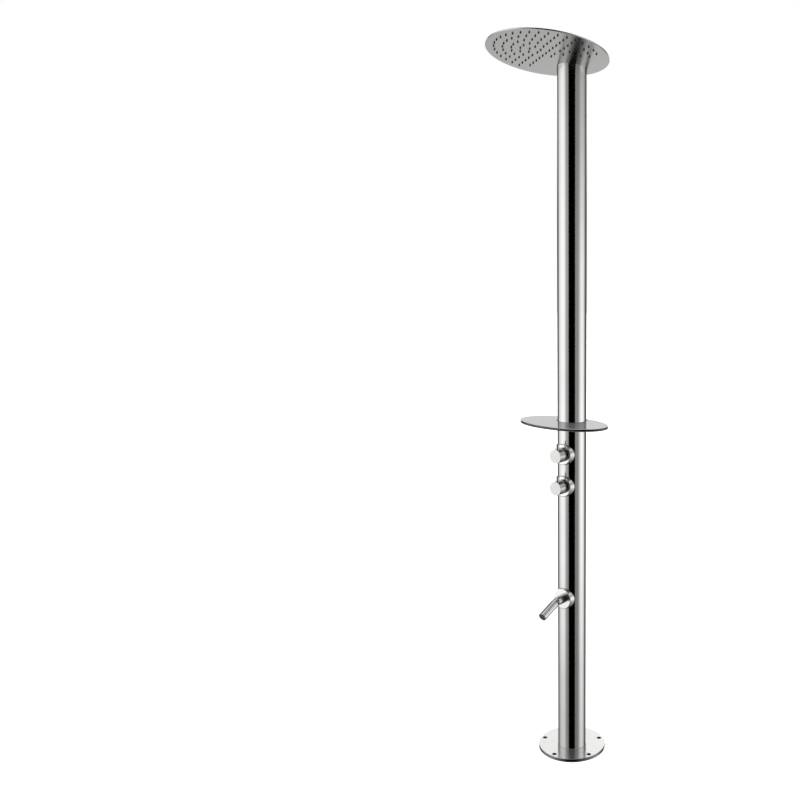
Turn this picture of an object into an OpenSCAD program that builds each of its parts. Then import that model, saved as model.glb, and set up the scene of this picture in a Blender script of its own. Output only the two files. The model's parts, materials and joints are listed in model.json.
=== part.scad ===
// Outdoor shower post: a round steel column on a bolted foot, with a slanted rain head,
// an oval shelf, two quarter-turn taps and a swivelling foot spout, plumbed inside.
// Origin: post axis at floor level. +Z is up and the front, with the taps, is -Y.

/* [Post] */
// Outer diameter of the post tube
post_d = 88.9; // [76:0.1:100]
// Wall of the post tube
post_wall = 2; // [1.5:0.1:4]
// Height on the post axis where the slanted head starts
post_top = 2096; // [1900:1:2300]

/* [Base flange] */
// Diameter of the flange
flange_d = 210; // [190:1:280]
// Thickness of the flange
flange_t = 10; // [6:0.5:14]
// Chamfer of the flange's upper edge
flange_edge = 0.8; // [0.3:0.1:2]
// Number of anchor holes, the first at the front
anchor_count = 5; // [3:1:8]
// Diameter of the circle of anchor holes
anchor_pcd = 183; // [165:1:230]
// Diameter of one anchor hole
anchor_hole_d = 14; // [9:0.5:18]

/* [Rain head] */
// Diameter of the head
head_d = 352; // [300:1:400]
// Thickness of the whole head
head_t = 4; // [3.6:0.1:8]
// Thickness of the head's steel sheets
head_sheet = 1.2; // [0.8:0.1:1.5]
// Distance that the head reaches behind the post axis, along the slanted head
head_back = 58; // [46:1:80]
// Upward slant of the head towards the front, in degrees
head_tilt = 11.5; // [0:0.5:20]
// Rings of nozzles round the middle nozzle
nozzle_rings = 6; // [3:1:6]
// Distance of the middle nozzle in front of the head's centre
nozzle_ahead = 6; // [0:0.5:8]
// Distance of the last ring of nozzles from the head's edge at its sides
nozzle_edge = 28.5; // [12:0.5:40]
// Diameter of a nozzle where it leaves the sheet
nozzle_d = 5; // [4:0.1:6]
// Diameter of a nozzle's tip
nozzle_tip_d = 3; // [2.4:0.1:3.6]
// Height of a nozzle below the sheet
nozzle_h = 3.5; // [2:0.1:5]
// Distance from the post that stays free of nozzles
nozzle_clear = 49.55; // [35:0.05:75]
// Nozzles start this far in front of the post axis
nozzle_back = 59; // [50:1:80]

/* [Shelf] */
// Width of the oval shelf
shelf_w = 304; // [260:1:380]
// Depth of the oval shelf
shelf_depth = 177; // [160:1:220]
// Thickness of the shelf
shelf_t = 8; // [4:0.5:10]
// Distance of the shelf's centre in front of the post axis
shelf_offset = 43; // [30:1:60]
// Height of the shelf's upper face
shelf_top = 1058; // [1030:1:1200]
// Gap through the shelf behind the post
shelf_gap = 40; // [34:1:60]
// Rubber ring between the shelf and the post
shelf_ring_t = 1.2; // [0.8:0.1:3]
// Diameter of a peg that carries the shelf
peg_d = 6; // [4:0.5:8]
// Length of a peg outside the post
peg_out = 9; // [6:0.5:14]

/* [Taps] */
// Height of the upper tap, which feeds the rain head
upper_tap_z = 959; // [940:1:990]
// Height of the lower tap, which feeds the foot spout
lower_tap_z = 860; // [840:1:870]
// Diameter of a knob
knob_d = 43; // [40:0.5:50]
// Length of a knob
knob_len = 30; // [27:0.5:36]
// Gap between a knob and its boss
knob_gap = 3.6; // [2.8:0.1:5]
// Diameter of the lever pin on a knob
lever_d = 10.8; // [8:0.1:12]
// Height of the lever pin above the knob
lever_rise = 14; // [8:0.5:20]
// Distance of the lever pin's axis behind the knob's face
lever_back = 12.7; // [10:0.1:14]
// Diameter of the spindle that a knob turns
spindle_d = 8; // [6:0.1:9]

/* [Bosses] */
// Diameter of a boss on the post
boss_d = 64; // [60:0.5:72]
// Distance of a boss's face in front of the post
boss_rise = 6.55; // [5.5:0.05:15]
// Chamfer round a boss's face
boss_edge = 1.5; // [0.5:0.1:3]

/* [Foot spout] */
// Height of the foot spout's stub
foot_z = 504; // [420:1:600]
// Diameter of the stub
stub_d = 27.4; // [26:0.1:28]
// Length of the stub in front of its boss
stub_len = 30.5; // [27:0.5:44]
// Diameter of the ball
ball_d = 20; // [19:0.1:20.5]
// Distance of the ball's centre behind the stub's end
ball_back = 3; // [2.6:0.1:3.4]
// Diameter of the ball's neck
neck_d = 14; // [11:0.1:14.5]
// Distance of the spout tube from the ball's centre
neck_len = 10.5; // [10.2:0.1:16]
// Diameter of the spout tube
spout_d = 26.4; // [24:0.1:27]
// Wall of the spout tube
spout_wall = 2.2; // [1.5:0.1:3]
// Length of the spout tube
spout_len = 66; // [50:0.5:90]
// Downward slope of the spout at rest, in degrees
spout_drop = 21.5; // [0:0.5:22]

/* [Plumbing] */
// Outer diameter of the water pipes
pipe_d = 15; // [12:0.1:15]
// Wall of the water pipes
pipe_wall = 1; // [0.7:0.1:1.2]
// Gap between a pipe and the barrel that it passes
pipe_gap = 1.5; // [0.5:0.1:1.6]
// Diameter of the pipe sockets
sleeve_d = 20; // [19:0.1:21]
// Length of a pipe socket from its tap's axis
sleeve_len = 28; // [24:0.5:34]
// Depth of a pipe in its socket
socket_depth = 12; // [8:0.5:14]
// Outer diameter of a tap body's barrel
barrel_d = 30; // [28:0.1:31]
// Bore of a tap body's barrel
barrel_bore = 19; // [17:0.1:19.4]
// Rear end of a barrel, behind the post axis
barrel_back = 14; // [12:0.5:20]
// Floor of a barrel's bore, in front of the post axis
bore_floor = 10; // [6:0.5:11]
// Diameter of the water ways inside the bodies
way_d = 11; // [8:0.5:11.5]
// Minor diameter of the G1/2 water inlet's thread
inlet_thread_d = 18.6; // [18.2:0.05:19]
// Depth of the water inlet's thread
inlet_depth = 15; // [12:0.5:18]
// Outer diameter of the inlet connector
inlet_d = 24; // [23.5:0.1:25]

/* [Hidden] */
$fn = 64;
// Clearance round pieces that are fixed in each other
snug = 0.05;
// Running clearance between turning and fixed faces
running = 0.06;
// Overrun of every cut
over = 1;

post_r = post_d / 2;
post_bore_r = post_r - post_wall;
head_r = head_d / 2;
head_offset = head_r - head_back;
nozzle_pitch = (head_r - nozzle_edge) / nozzle_rings;
nozzle_clear_r = post_r + nozzle_clear;
half_space = 3 * head_d;
boss_reach = post_r + boss_rise;
stub_reach = boss_reach + stub_len;

// Distance of each pipe's axis beside the post axis
pipe_side = (barrel_d + pipe_d) / 2 + pipe_gap;

// Nuts that clamp the tap bodies, sunk in the tap bosses
nut_flats = 34;
nut_t = 3.5;
nut_pocket_d = 40;
nut_recess = 0.5;
barrel_front = boss_reach - nut_recess;
nut_seat = barrel_front - nut_t;

// Bridge round the water way between a barrel and its sleeve
bridge_d = 17;

// The foot boss has a closed face, and the stub's tail pulls the elbow against it
foot_face_t = 4;
elbow_front = boss_reach - foot_face_t;

// Cartridges: body, collar on the barrel, nose, disc chamber and seals
cartridge_d = barrel_bore - 2 * snug;
collar_d = 26;
collar_t = 1.5;
nose_d = 13;
nose_len = 5;
chamber_d = 15.4;
chamber_len = 8;
disc_d = 15;
disc_t = 2.6;
seal_cord = 1.6;
seal_place_shares = [0.6, 0.8];

// Knobs: socket for the nose, spindle depth, lever depth and grub screw
knob_back = boss_reach + knob_gap;
knob_face = knob_back + knob_len;
knob_edge = 0.6;
socket_d = 30;
knob_socket = 6;
spindle_tip = 8.5;
lever_at = knob_face - lever_back;
lever_root = 10;
lever_edge = 0.5;
grub_d = 4;
grub_at = knob_back + knob_socket + 4;
grub_sink = 1.5;
grub_key_d = 2.2;
grub_key_depth = 2.5;

// Foot spout
ball_r = ball_d / 2;
ball_at = stub_reach - ball_back;
stub_wall = 1.6;
socket_r = stub_d / 2 - stub_wall;
retainer_gap = 0.4;
mouth_r = 10.3;
mouth_depth = 1.4;
o_ring_r = 7;
o_cord = 2.5;
o_gap = 0.3;
o_back = sqrt(pow(ball_r + o_gap + o_cord / 2, 2) - pow(o_ring_r, 2));
o_pocket_r = o_ring_r + o_cord / 2 + snug;
seat_back = o_back - o_cord / 2 - o_gap;
stub_tail = 26;
tail_d = barrel_bore - 2 * snug;
spout_way_d = 8;
aerator_depth = 8;
aerator_sink = 1.2;
aerator_hole_d = 1.6;
aerator_pitch = 3;
spout_edge = 0.5;

// Inlet connector and its nut
inlet_collar_d = 29.6;
inlet_collar_t = 3;
inlet_len = 30;
inlet_nut_flats = 30;
inlet_nut_t = 6;

// Union between the riser pipe and the head
union_drop = 30;
union_low = post_top - union_drop;
union_d = 20;
washer_t = 2;
union_nut_flats = 24;
union_nut_len = 18;
union_nut_floor = 4;
union_collar_d = 18.4;

// Head: nozzle collars and rubber seal between the sheets
nozzle_collar_d = 7.4;
nozzle_collar_t = 0.8;
nozzle_swell = 0.4;
nozzle_bore_d = 1;
seal_out = 4;
seal_w = 5;
chamber_t = head_t - 2 * head_sheet;

// Shelf: sides of the oval outline, pegs in the post
shelf_sides = 120;
peg_count = 3;
peg_in = 4;
peg_z = shelf_top - shelf_t - peg_d / 2;

// A straight ring that stands on z = 0
module ring(outer_d, inner_d, h) {
  difference() {
    cylinder(d = outer_d, h = h);
    translate([0, 0, -over]) cylinder(d = inner_d, h = h + 2 * over);
  }
}

// A hexagon nut's blank over its flats
module hexagon(flats, h) {
  cylinder(d = flats / cos(30), h = h, $fn = 6);
}

// Children are drawn with their z axis pointing to the front at height z
module facing_front(z) {
  translate([0, 0, z]) rotate([90, 0, 0]) children();
}

// Children are drawn on the slanted underside of the head, z square to it, -y to the front
module on_head() {
  translate([0, 0, post_top]) rotate([-head_tilt, 0, 0]) children();
}

// All the space above the head's underside
module above_head() {
  on_head() translate([-half_space / 2, -half_space / 2, 0]) cube(half_space);
}

// Base and post

module base_flange() {
  color("gainsboro") difference() {
    rotate_extrude() polygon([
      [0, 0], [flange_d / 2, 0], [flange_d / 2, flange_t - flange_edge],
      [flange_d / 2 - flange_edge, flange_t], [0, flange_t]
    ]);
    for (i = [0 : anchor_count - 1])
      rotate([0, 0, -90 + i * 360 / anchor_count])
        translate([anchor_pcd / 2, 0, -over]) cylinder(d = anchor_hole_d, h = flange_t + 2 * over);
    translate([-pipe_side, 0, -over]) cylinder(d = inlet_d + 2 * snug, h = flange_t + 2 * over);
    translate([-pipe_side, 0, -over])
      cylinder(d = inlet_collar_d + 2 * snug, h = inlet_collar_t + over);
  }
}

module peg_place(i) {
  translate([0, 0, peg_z]) rotate([0, 0, -90 + i * 360 / peg_count])
    translate([post_bore_r - peg_in, 0, 0]) rotate([0, 90, 0]) children();
}

module post_tube() {
  color("silver") difference() {
    translate([0, 0, flange_t]) cylinder(r = post_r, h = post_top + post_d - flange_t);
    translate([0, 0, flange_t - over]) cylinder(r = post_bore_r, h = post_top + post_d);
    above_head();
    for (z = [upper_tap_z, lower_tap_z, foot_z])
      facing_front(z) cylinder(d = barrel_d + 2 * snug, h = post_d);
    for (i = [0 : peg_count - 1]) peg_place(i) cylinder(d = peg_d + 2 * snug, h = post_r);
  }
}

// Bosses, cut to sit on the post

module boss_blank() {
  difference() {
    rotate_extrude() polygon([
      [0, 0], [boss_d / 2, 0], [boss_d / 2, boss_reach - boss_edge],
      [boss_d / 2 - boss_edge, boss_reach], [0, boss_reach]
    ]);
    rotate([90, 0, 0]) cylinder(r = post_r + snug, h = 2 * boss_d, center = true);
  }
}

// A tap's boss is open to the front, with a pocket for the nut
module tap_boss(z) {
  color("silver") facing_front(z) difference() {
    boss_blank();
    cylinder(d = barrel_d + 2 * snug, h = boss_reach + over);
    translate([0, 0, nut_seat]) cylinder(d = nut_pocket_d, h = boss_reach);
  }
}

module upper_boss() { tap_boss(upper_tap_z); }
module lower_boss() { tap_boss(lower_tap_z); }

module foot_boss() {
  color("silver") facing_front(foot_z) difference() {
    boss_blank();
    cylinder(d = barrel_d + 2 * snug, h = elbow_front);
    cylinder(d = tail_d + 2 * snug, h = boss_reach + over);
  }
}

// Tap bodies: a barrel to the front, and at one or both sides an upright sleeve for pipes.
// side is -1 or 1, down and up say how far a sleeve reaches.

module sleeve(side, down, up) {
  translate([side * pipe_side, -down, 0]) rotate([-90, 0, 0]) cylinder(d = sleeve_d, h = down + up);
  rotate([0, side * 90, 0]) cylinder(d = bridge_d, h = pipe_side);
}

module sleeve_ways(side, down, up) {
  translate([side * pipe_side, -down, 0]) rotate([-90, 0, 0]) {
    if (down > sleeve_d / 2)
      translate([0, 0, -over]) cylinder(d = pipe_d + 2 * snug, h = socket_depth + over);
    if (up > sleeve_d / 2)
      translate([0, 0, down + up - socket_depth]) cylinder(d = pipe_d + 2 * snug, h = socket_depth + over);
  }
  // Water way from the sleeve's middle to its open ends, and across into the barrel's bore
  low = down > sleeve_d / 2 ? down - socket_depth + over : 0;
  high = up > sleeve_d / 2 ? up - socket_depth + over : 0;
  translate([side * pipe_side, -low, 0]) rotate([-90, 0, 0]) cylinder(d = way_d, h = low + high);
  rotate([0, side * 90, 0]) cylinder(d = way_d, h = pipe_side);
}

module tap_body(z, front, sleeves) {
  color("goldenrod") facing_front(z) difference() {
    union() {
      translate([0, 0, -barrel_back]) cylinder(d = barrel_d, h = barrel_back + front);
      for (s = sleeves) sleeve(s[0], s[1], s[2]);
    }
    translate([0, 0, bore_floor]) cylinder(d = barrel_bore, h = boss_reach);
    cylinder(d = way_d, h = boss_reach);
    for (s = sleeves) sleeve_ways(s[0], s[1], s[2]);
  }
}

// The closed end of a sleeve reaches as far as its half width
module upper_tap_body() {
  tap_body(upper_tap_z, barrel_front, [[-1, sleeve_len, sleeve_d / 2], [1, sleeve_d / 2, sleeve_len]]);
}

module lower_tap_body() {
  tap_body(lower_tap_z, barrel_front, [[-1, sleeve_len, sleeve_len], [1, sleeve_len, sleeve_d / 2]]);
}

module foot_elbow() {
  tap_body(foot_z, elbow_front, [[1, sleeve_d / 2, sleeve_len]]);
}

module body_nuts() {
  color("goldenrod") for (z = [upper_tap_z, lower_tap_z])
    facing_front(z) translate([0, 0, nut_seat]) difference() {
      hexagon(nut_flats, nut_t);
      translate([0, 0, -over]) cylinder(d = barrel_d + 2 * snug, h = nut_t + 2 * over);
    }
}

// Cartridges with their discs, seals and spindles

seal_places = [for (share = seal_place_shares) bore_floor + share * (barrel_front - bore_floor)];
seal_mid_r = barrel_bore / 2 - seal_cord / 2 - snug;

module cartridge(z) {
  color("beige") facing_front(z) difference() {
    union() {
      translate([0, 0, bore_floor]) cylinder(d = cartridge_d, h = barrel_front - bore_floor);
      translate([0, 0, barrel_front]) cylinder(d = collar_d, h = collar_t);
      translate([0, 0, barrel_front]) cylinder(d = nose_d, h = nose_len);
    }
    cylinder(d = spindle_d + 2 * running, h = knob_face);
    translate([0, 0, bore_floor - over]) cylinder(d = chamber_d, h = chamber_len + over);
    for (place = seal_places) translate([0, 0, place - seal_cord / 2 - snug])
      ring(barrel_bore + over, 2 * seal_mid_r - seal_cord - 2 * snug, seal_cord + 2 * snug);
  }
}

module upper_cartridge() { cartridge(upper_tap_z); }
module lower_cartridge() { cartridge(lower_tap_z); }

module cartridge_seals() {
  color("black") for (z = [upper_tap_z, lower_tap_z]) for (place = seal_places)
    facing_front(z) translate([0, 0, place]) rotate_extrude()
      translate([seal_mid_r, 0]) circle(d = seal_cord, $fn = 24);
}

module fixed_discs() {
  color("white") for (z = [upper_tap_z, lower_tap_z])
    facing_front(z) translate([0, 0, bore_floor + snug]) difference() {
      cylinder(d = disc_d, h = disc_t);
      translate([disc_d / 4, 0, -over]) cylinder(d = disc_d / 4, h = disc_t + 2 * over);
    }
}

turning_disc_at = bore_floor + snug + disc_t + snug;

module turning_disc(z) {
  color("white") facing_front(z) translate([0, 0, turning_disc_at]) difference() {
    cylinder(d = disc_d, h = disc_t);
    translate([0, disc_d / 4, -over]) cylinder(d = disc_d / 4, h = disc_t + 2 * over);
  }
}

module upper_turning_disc() { turning_disc(upper_tap_z); }
module lower_turning_disc() { turning_disc(lower_tap_z); }

module spindle(z) {
  spindle_at = turning_disc_at + disc_t;
  color("goldenrod") facing_front(z)
    translate([0, 0, spindle_at]) cylinder(d = spindle_d, h = knob_face - spindle_tip - spindle_at);
}

module upper_spindle() { spindle(upper_tap_z); }
module lower_spindle() { spindle(lower_tap_z); }

// Knobs with their lever pins and grub screws

module knob(z) {
  color("silver") facing_front(z) difference() {
    rotate_extrude() polygon([
      [0, knob_back], [knob_d / 2, knob_back], [knob_d / 2, knob_face - knob_edge],
      [knob_d / 2 - knob_edge, knob_face], [0, knob_face]
    ]);
    translate([0, 0, knob_back - over]) cylinder(d = socket_d, h = knob_socket + over);
    translate([0, 0, knob_back - over])
      cylinder(d = spindle_d + 2 * snug, h = knob_len - spindle_tip + over);
    translate([0, lever_root, lever_at]) rotate([-90, 0, 0]) cylinder(d = lever_d + 2 * snug, h = knob_d);
    translate([0, 0, grub_at]) rotate([90, 0, 0]) cylinder(d = grub_d + 2 * snug, h = knob_d);
  }
}

module upper_knob() { knob(upper_tap_z); }
module lower_knob() { knob(lower_tap_z); }

module lever(z) {
  lever_top = knob_d / 2 + lever_rise;
  color("silver") facing_front(z) translate([0, 0, lever_at]) rotate([-90, 0, 0]) rotate_extrude() polygon([
    [0, lever_root], [lever_d / 2, lever_root], [lever_d / 2, lever_top - lever_edge],
    [lever_d / 2 - lever_edge, lever_top], [0, lever_top]
  ]);
}

module upper_lever() { lever(upper_tap_z); }
module lower_lever() { lever(lower_tap_z); }

module grub_screw(z) {
  color("dimgray") facing_front(z) translate([0, 0, grub_at]) rotate([90, 0, 0]) difference() {
    translate([0, 0, spindle_d / 2 + snug])
      cylinder(d = grub_d, h = knob_d / 2 - grub_sink - spindle_d / 2 - snug);
    translate([0, 0, knob_d / 2 - grub_sink - grub_key_depth])
      cylinder(d = grub_key_d, h = knob_d, $fn = 6);
  }
}

module upper_grub_screw() { grub_screw(upper_tap_z); }
module lower_grub_screw() { grub_screw(lower_tap_z); }

// Plumbing between the bodies

module inlet_connector() {
  color("goldenrod") translate([-pipe_side, 0, 0]) difference() {
    union() {
      cylinder(d = inlet_collar_d, h = inlet_collar_t);
      cylinder(d = inlet_d, h = inlet_len);
    }
    translate([0, 0, -over]) cylinder(d = inlet_thread_d, h = inlet_depth + over);
    cylinder(d = way_d, h = inlet_len);
    translate([0, 0, inlet_len - socket_depth]) cylinder(d = pipe_d + 2 * snug, h = socket_depth + over);
  }
}

module inlet_nut() {
  color("goldenrod") translate([-pipe_side, 0, flange_t]) difference() {
    hexagon(inlet_nut_flats, inlet_nut_t);
    translate([0, 0, -over]) cylinder(d = inlet_d + 2 * snug, h = inlet_nut_t + 2 * over);
  }
}

// A pipe beside the post axis between two heights
module pipe(side, low, high) {
  color("peru") translate([side * pipe_side, 0, low]) ring(pipe_d, pipe_d - 2 * pipe_wall, high - low);
}

module supply_pipe() {
  pipe(-1, inlet_len - socket_depth, lower_tap_z - sleeve_len + socket_depth);
}

module link_pipe() {
  pipe(-1, lower_tap_z + sleeve_len - socket_depth, upper_tap_z - sleeve_len + socket_depth);
}

module foot_pipe() {
  pipe(1, foot_z + sleeve_len - socket_depth, lower_tap_z - sleeve_len + socket_depth);
}

module riser_pipe() {
  pipe(1, upper_tap_z + sleeve_len - socket_depth, union_low - washer_t);
  color("peru") translate([pipe_side, 0, union_low - 2 * washer_t])
    ring(union_collar_d, pipe_d - pipe_wall, washer_t);
}

module riser_washer() {
  color("black") translate([pipe_side, 0, union_low - washer_t])
    ring(union_collar_d, pipe_d - 2 * pipe_wall, washer_t);
}

module riser_nut() {
  nut_low = union_low - 2 * washer_t - union_nut_floor;
  color("goldenrod") translate([pipe_side, 0, nut_low]) difference() {
    hexagon(union_nut_flats, union_nut_len);
    translate([0, 0, -over]) cylinder(d = pipe_d + 2 * snug, h = union_nut_len);
    translate([0, 0, union_nut_floor]) cylinder(d = union_d + 2 * snug, h = union_nut_len);
  }
}

module head_inlet() {
  color("goldenrod") difference() {
    translate([pipe_side, 0, union_low]) ring(union_d, way_d, post_top - union_low + union_d);
    above_head();
  }
}

// Rain head: a drilled sheet in a shallow pan, with rubber nozzles

nozzle_places = [
  for (n = [0 : nozzle_rings]) for (i = [0 : max(1, 6 * n) - 1])
    let (a = i * 360 / max(1, 6 * n))
    let (p = [n * nozzle_pitch * sin(a), -head_offset - nozzle_ahead - n * nozzle_pitch * cos(a)])
    if (p[1] < -nozzle_back && norm(p) > nozzle_clear_r) p
];

module head_plate() {
  color("silver") difference() {
    on_head() difference() {
      translate([0, -head_offset, 0]) cylinder(r = head_r - head_sheet - snug, h = head_sheet);
      for (p = nozzle_places)
        translate([p[0], p[1], -over]) cylinder(d = nozzle_d + 2 * snug, h = head_sheet + 2 * over);
    }
    translate([pipe_side, 0, union_low]) cylinder(d = way_d, h = post_top);
  }
}

module head_cover() {
  color("silver") on_head() translate([0, -head_offset, 0]) difference() {
    cylinder(r = head_r, h = head_t);
    translate([0, 0, -over]) cylinder(r = head_r - head_sheet, h = head_t - head_sheet + over);
  }
}

module head_seal() {
  seal_outer_r = head_r - head_sheet - seal_out;
  color("black") on_head() translate([0, -head_offset, head_sheet])
    ring(2 * seal_outer_r, 2 * (seal_outer_r - seal_w), chamber_t);
}

module nozzles() {
  color("dimgray") on_head() for (p = nozzle_places) translate([p[0], p[1], 0]) rotate_extrude() polygon([
    [nozzle_bore_d / 2, -nozzle_h], [nozzle_tip_d / 2, -nozzle_h], [nozzle_d / 2 + nozzle_swell, 0],
    [nozzle_d / 2, 0], [nozzle_d / 2, head_sheet], [nozzle_collar_d / 2, head_sheet],
    [nozzle_collar_d / 2, head_sheet + nozzle_collar_t], [nozzle_bore_d / 2, head_sheet + nozzle_collar_t]
  ]);
}

// Shelf

module shelf() {
  color("gainsboro") translate([0, 0, shelf_top - shelf_t]) difference() {
    linear_extrude(shelf_t) polygon([
      for (i = [0 : shelf_sides - 1])
        let (a = i * 360 / shelf_sides)
        [shelf_w / 2 * cos(a), shelf_depth / 2 * sin(a) - shelf_offset]
    ]);
    translate([0, 0, -over]) cylinder(r = post_r + shelf_ring_t + snug, h = shelf_t + 2 * over);
    translate([-shelf_gap / 2, 0, -over]) cube([shelf_gap, shelf_depth, shelf_t + 2 * over]);
  }
}

module shelf_ring() {
  color("black") translate([0, 0, shelf_top - shelf_t])
    ring(2 * (post_r + shelf_ring_t), 2 * (post_r + snug), shelf_t);
}

module shelf_pegs() {
  color("silver") for (i = [0 : peg_count - 1])
    peg_place(i) cylinder(d = peg_d, h = peg_in + post_wall + peg_out);
}

// Foot spout: stub, ball joint and tube

module foot_stub() {
  color("silver") facing_front(foot_z) difference() {
    union() {
      translate([0, 0, boss_reach]) cylinder(d = stub_d, h = stub_reach - boss_reach);
      translate([0, 0, boss_reach - stub_tail]) cylinder(d = tail_d, h = stub_tail + over);
    }
    translate([0, 0, ball_at - seat_back - running]) cylinder(r = socket_r, h = stub_reach);
    translate([0, 0, ball_at - o_back - o_cord / 2]) cylinder(r = o_pocket_r, h = stub_reach);
    cylinder(d = way_d, h = stub_reach);
  }
}

// The rubber ring lies behind the ball, a small gap away from it
module ball_seal() {
  color("black") facing_front(foot_z) translate([0, 0, ball_at - o_back]) rotate_extrude()
    translate([o_ring_r, 0]) circle(d = o_cord, $fn = 24);
}

module ball_retainer() {
  color("silver") facing_front(foot_z) difference() {
    translate([0, 0, ball_at + retainer_gap]) cylinder(r = socket_r - snug, h = ball_back - retainer_gap);
    translate([0, 0, ball_at]) sphere(r = ball_r + running);
    translate([0, 0, stub_reach - mouth_depth])
      cylinder(r1 = mouth_r - mouth_depth, r2 = mouth_r, h = mouth_depth);
  }
}

module ball_seat() {
  color("white") facing_front(foot_z) difference() {
    translate([0, 0, ball_at - seat_back]) cylinder(r = socket_r - running, h = seat_back);
    translate([0, 0, ball_at]) sphere(r = ball_r + running);
    translate([0, 0, ball_at - seat_back - over]) cylinder(r = o_ring_r, h = seat_back);
  }
}

// Children are drawn from the ball's centre, with z along the sloping spout
module along_spout() {
  facing_front(foot_z) translate([0, 0, ball_at]) rotate([spout_drop, 0, 0]) children();
}

module spout_ball() {
  color("silver") along_spout() difference() {
    union() {
      sphere(r = ball_r);
      cylinder(d = neck_d, h = neck_len);
    }
    translate([0, 0, -ball_d]) cylinder(d = spout_way_d, h = ball_d + neck_len + over);
  }
}

module spout_tube() {
  color("silver") along_spout() translate([0, 0, neck_len]) difference() {
    rotate_extrude() polygon([
      [0, 0], [spout_d / 2 - spout_edge, 0], [spout_d / 2, spout_edge],
      [spout_d / 2, spout_len - spout_edge], [spout_d / 2 - spout_edge, spout_len], [0, spout_len]
    ]);
    translate([0, 0, -over]) cylinder(d = spout_way_d, h = spout_len);
    translate([0, 0, spout_wall]) cylinder(r = spout_d / 2 - spout_wall, h = spout_len);
  }
}

module aerator() {
  aerator_r = spout_d / 2 - spout_wall - snug;
  steps = floor((aerator_r - aerator_hole_d) / aerator_pitch);
  color("dimgray") along_spout() translate([0, 0, neck_len + spout_len - aerator_depth]) difference() {
    cylinder(r = aerator_r, h = aerator_depth - aerator_sink);
    for (i = [-steps : steps]) for (j = [-steps : steps])
      if (norm([i, j]) <= steps)
        translate([i * aerator_pitch, j * aerator_pitch, -over])
          cylinder(d = aerator_hole_d, h = aerator_depth + over);
  }
}

base_flange();
post_tube();
upper_boss();
lower_boss();
foot_boss();
upper_tap_body();
lower_tap_body();
foot_elbow();
body_nuts();
upper_cartridge();
lower_cartridge();
cartridge_seals();
fixed_discs();
upper_spindle();
lower_spindle();
upper_turning_disc();
lower_turning_disc();
upper_knob();
lower_knob();
upper_lever();
lower_lever();
upper_grub_screw();
lower_grub_screw();
inlet_connector();
inlet_nut();
supply_pipe();
link_pipe();
foot_pipe();
riser_pipe();
head_inlet();
riser_nut();
riser_washer();
head_plate();
head_cover();
head_seal();
nozzles();
shelf();
shelf_ring();
shelf_pegs();
foot_stub();
ball_seal();
ball_retainer();
ball_seat();
spout_ball();
spout_tube();
aerator();
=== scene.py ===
import json
import math

import bmesh
import bpy
from mathutils import Matrix, Vector


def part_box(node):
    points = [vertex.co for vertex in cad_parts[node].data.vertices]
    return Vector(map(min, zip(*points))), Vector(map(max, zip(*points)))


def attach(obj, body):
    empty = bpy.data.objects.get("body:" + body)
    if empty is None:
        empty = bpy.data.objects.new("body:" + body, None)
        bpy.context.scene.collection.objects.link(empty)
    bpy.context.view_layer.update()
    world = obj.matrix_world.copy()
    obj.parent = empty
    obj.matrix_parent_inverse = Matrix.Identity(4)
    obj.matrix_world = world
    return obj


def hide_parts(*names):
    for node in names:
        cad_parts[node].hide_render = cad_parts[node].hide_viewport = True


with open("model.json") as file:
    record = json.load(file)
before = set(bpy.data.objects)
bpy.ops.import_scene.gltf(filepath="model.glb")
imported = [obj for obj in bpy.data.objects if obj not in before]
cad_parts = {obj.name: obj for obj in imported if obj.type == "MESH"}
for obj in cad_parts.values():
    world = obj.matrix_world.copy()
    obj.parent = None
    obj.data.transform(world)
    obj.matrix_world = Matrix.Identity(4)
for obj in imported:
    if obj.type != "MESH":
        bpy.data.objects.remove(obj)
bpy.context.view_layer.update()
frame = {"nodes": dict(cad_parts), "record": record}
mm = 0.001
onAxis = 1e-7  # metres; a point nearer the axis than this is on it
creaseDeg = 32  # faces that meet more sharply than this show an edge
print("frame loaded")


# sRGB hex to the linear colour that a shader socket takes
def paint(hexColour):
    shares = [int(hexColour[i:i + 2], 16) / 255 for i in (1, 3, 5)]
    return tuple(s / 12.92 if s <= 0.04045 else ((s + 0.055) / 1.055) ** 2.4 for s in shares) + (1,)


# Adds one node: settings are its properties, links go to its inputs as sockets or plain values
def addNode(tree, kind, settings=None, **links):
    node = tree.nodes.new(kind)
    for key, value in (settings or {}).items():
        setattr(node, key, value)
    for key, value in links.items():
        socket = node.inputs[int(key[1:])] if key[1:].isdigit() else node.inputs[key.replace("_", " ")]
        if isinstance(value, bpy.types.NodeSocket):
            tree.links.new(value, socket)
        else:
            socket.default_value = value
    return node


# Rounds the corners of an outline given as (radius, height, rounding)
def softOutline(corners, steps=5):
    points = []
    for i, (radius, height, rounding) in enumerate(corners):
        here = Vector((radius, height))
        if not rounding:
            points.append(here)
            continue
        back = (Vector(corners[i - 1][:2]) - here).normalized()
        ahead = (Vector(corners[(i + 1) % len(corners)][:2]) - here).normalized()
        half = back.angle(ahead) / 2
        centre = here + (back + ahead).normalized() * rounding / math.sin(half)
        start = here + back * rounding / math.tan(half) - centre
        end = here + ahead * rounding / math.tan(half) - centre
        turnBy = start.angle_signed(end)
        for k in range(steps + 1):
            a = -turnBy * k / steps
            points.append(centre + Vector((start.x * math.cos(a) - start.y * math.sin(a),
                                           start.x * math.sin(a) + start.y * math.cos(a))))
    return points


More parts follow.
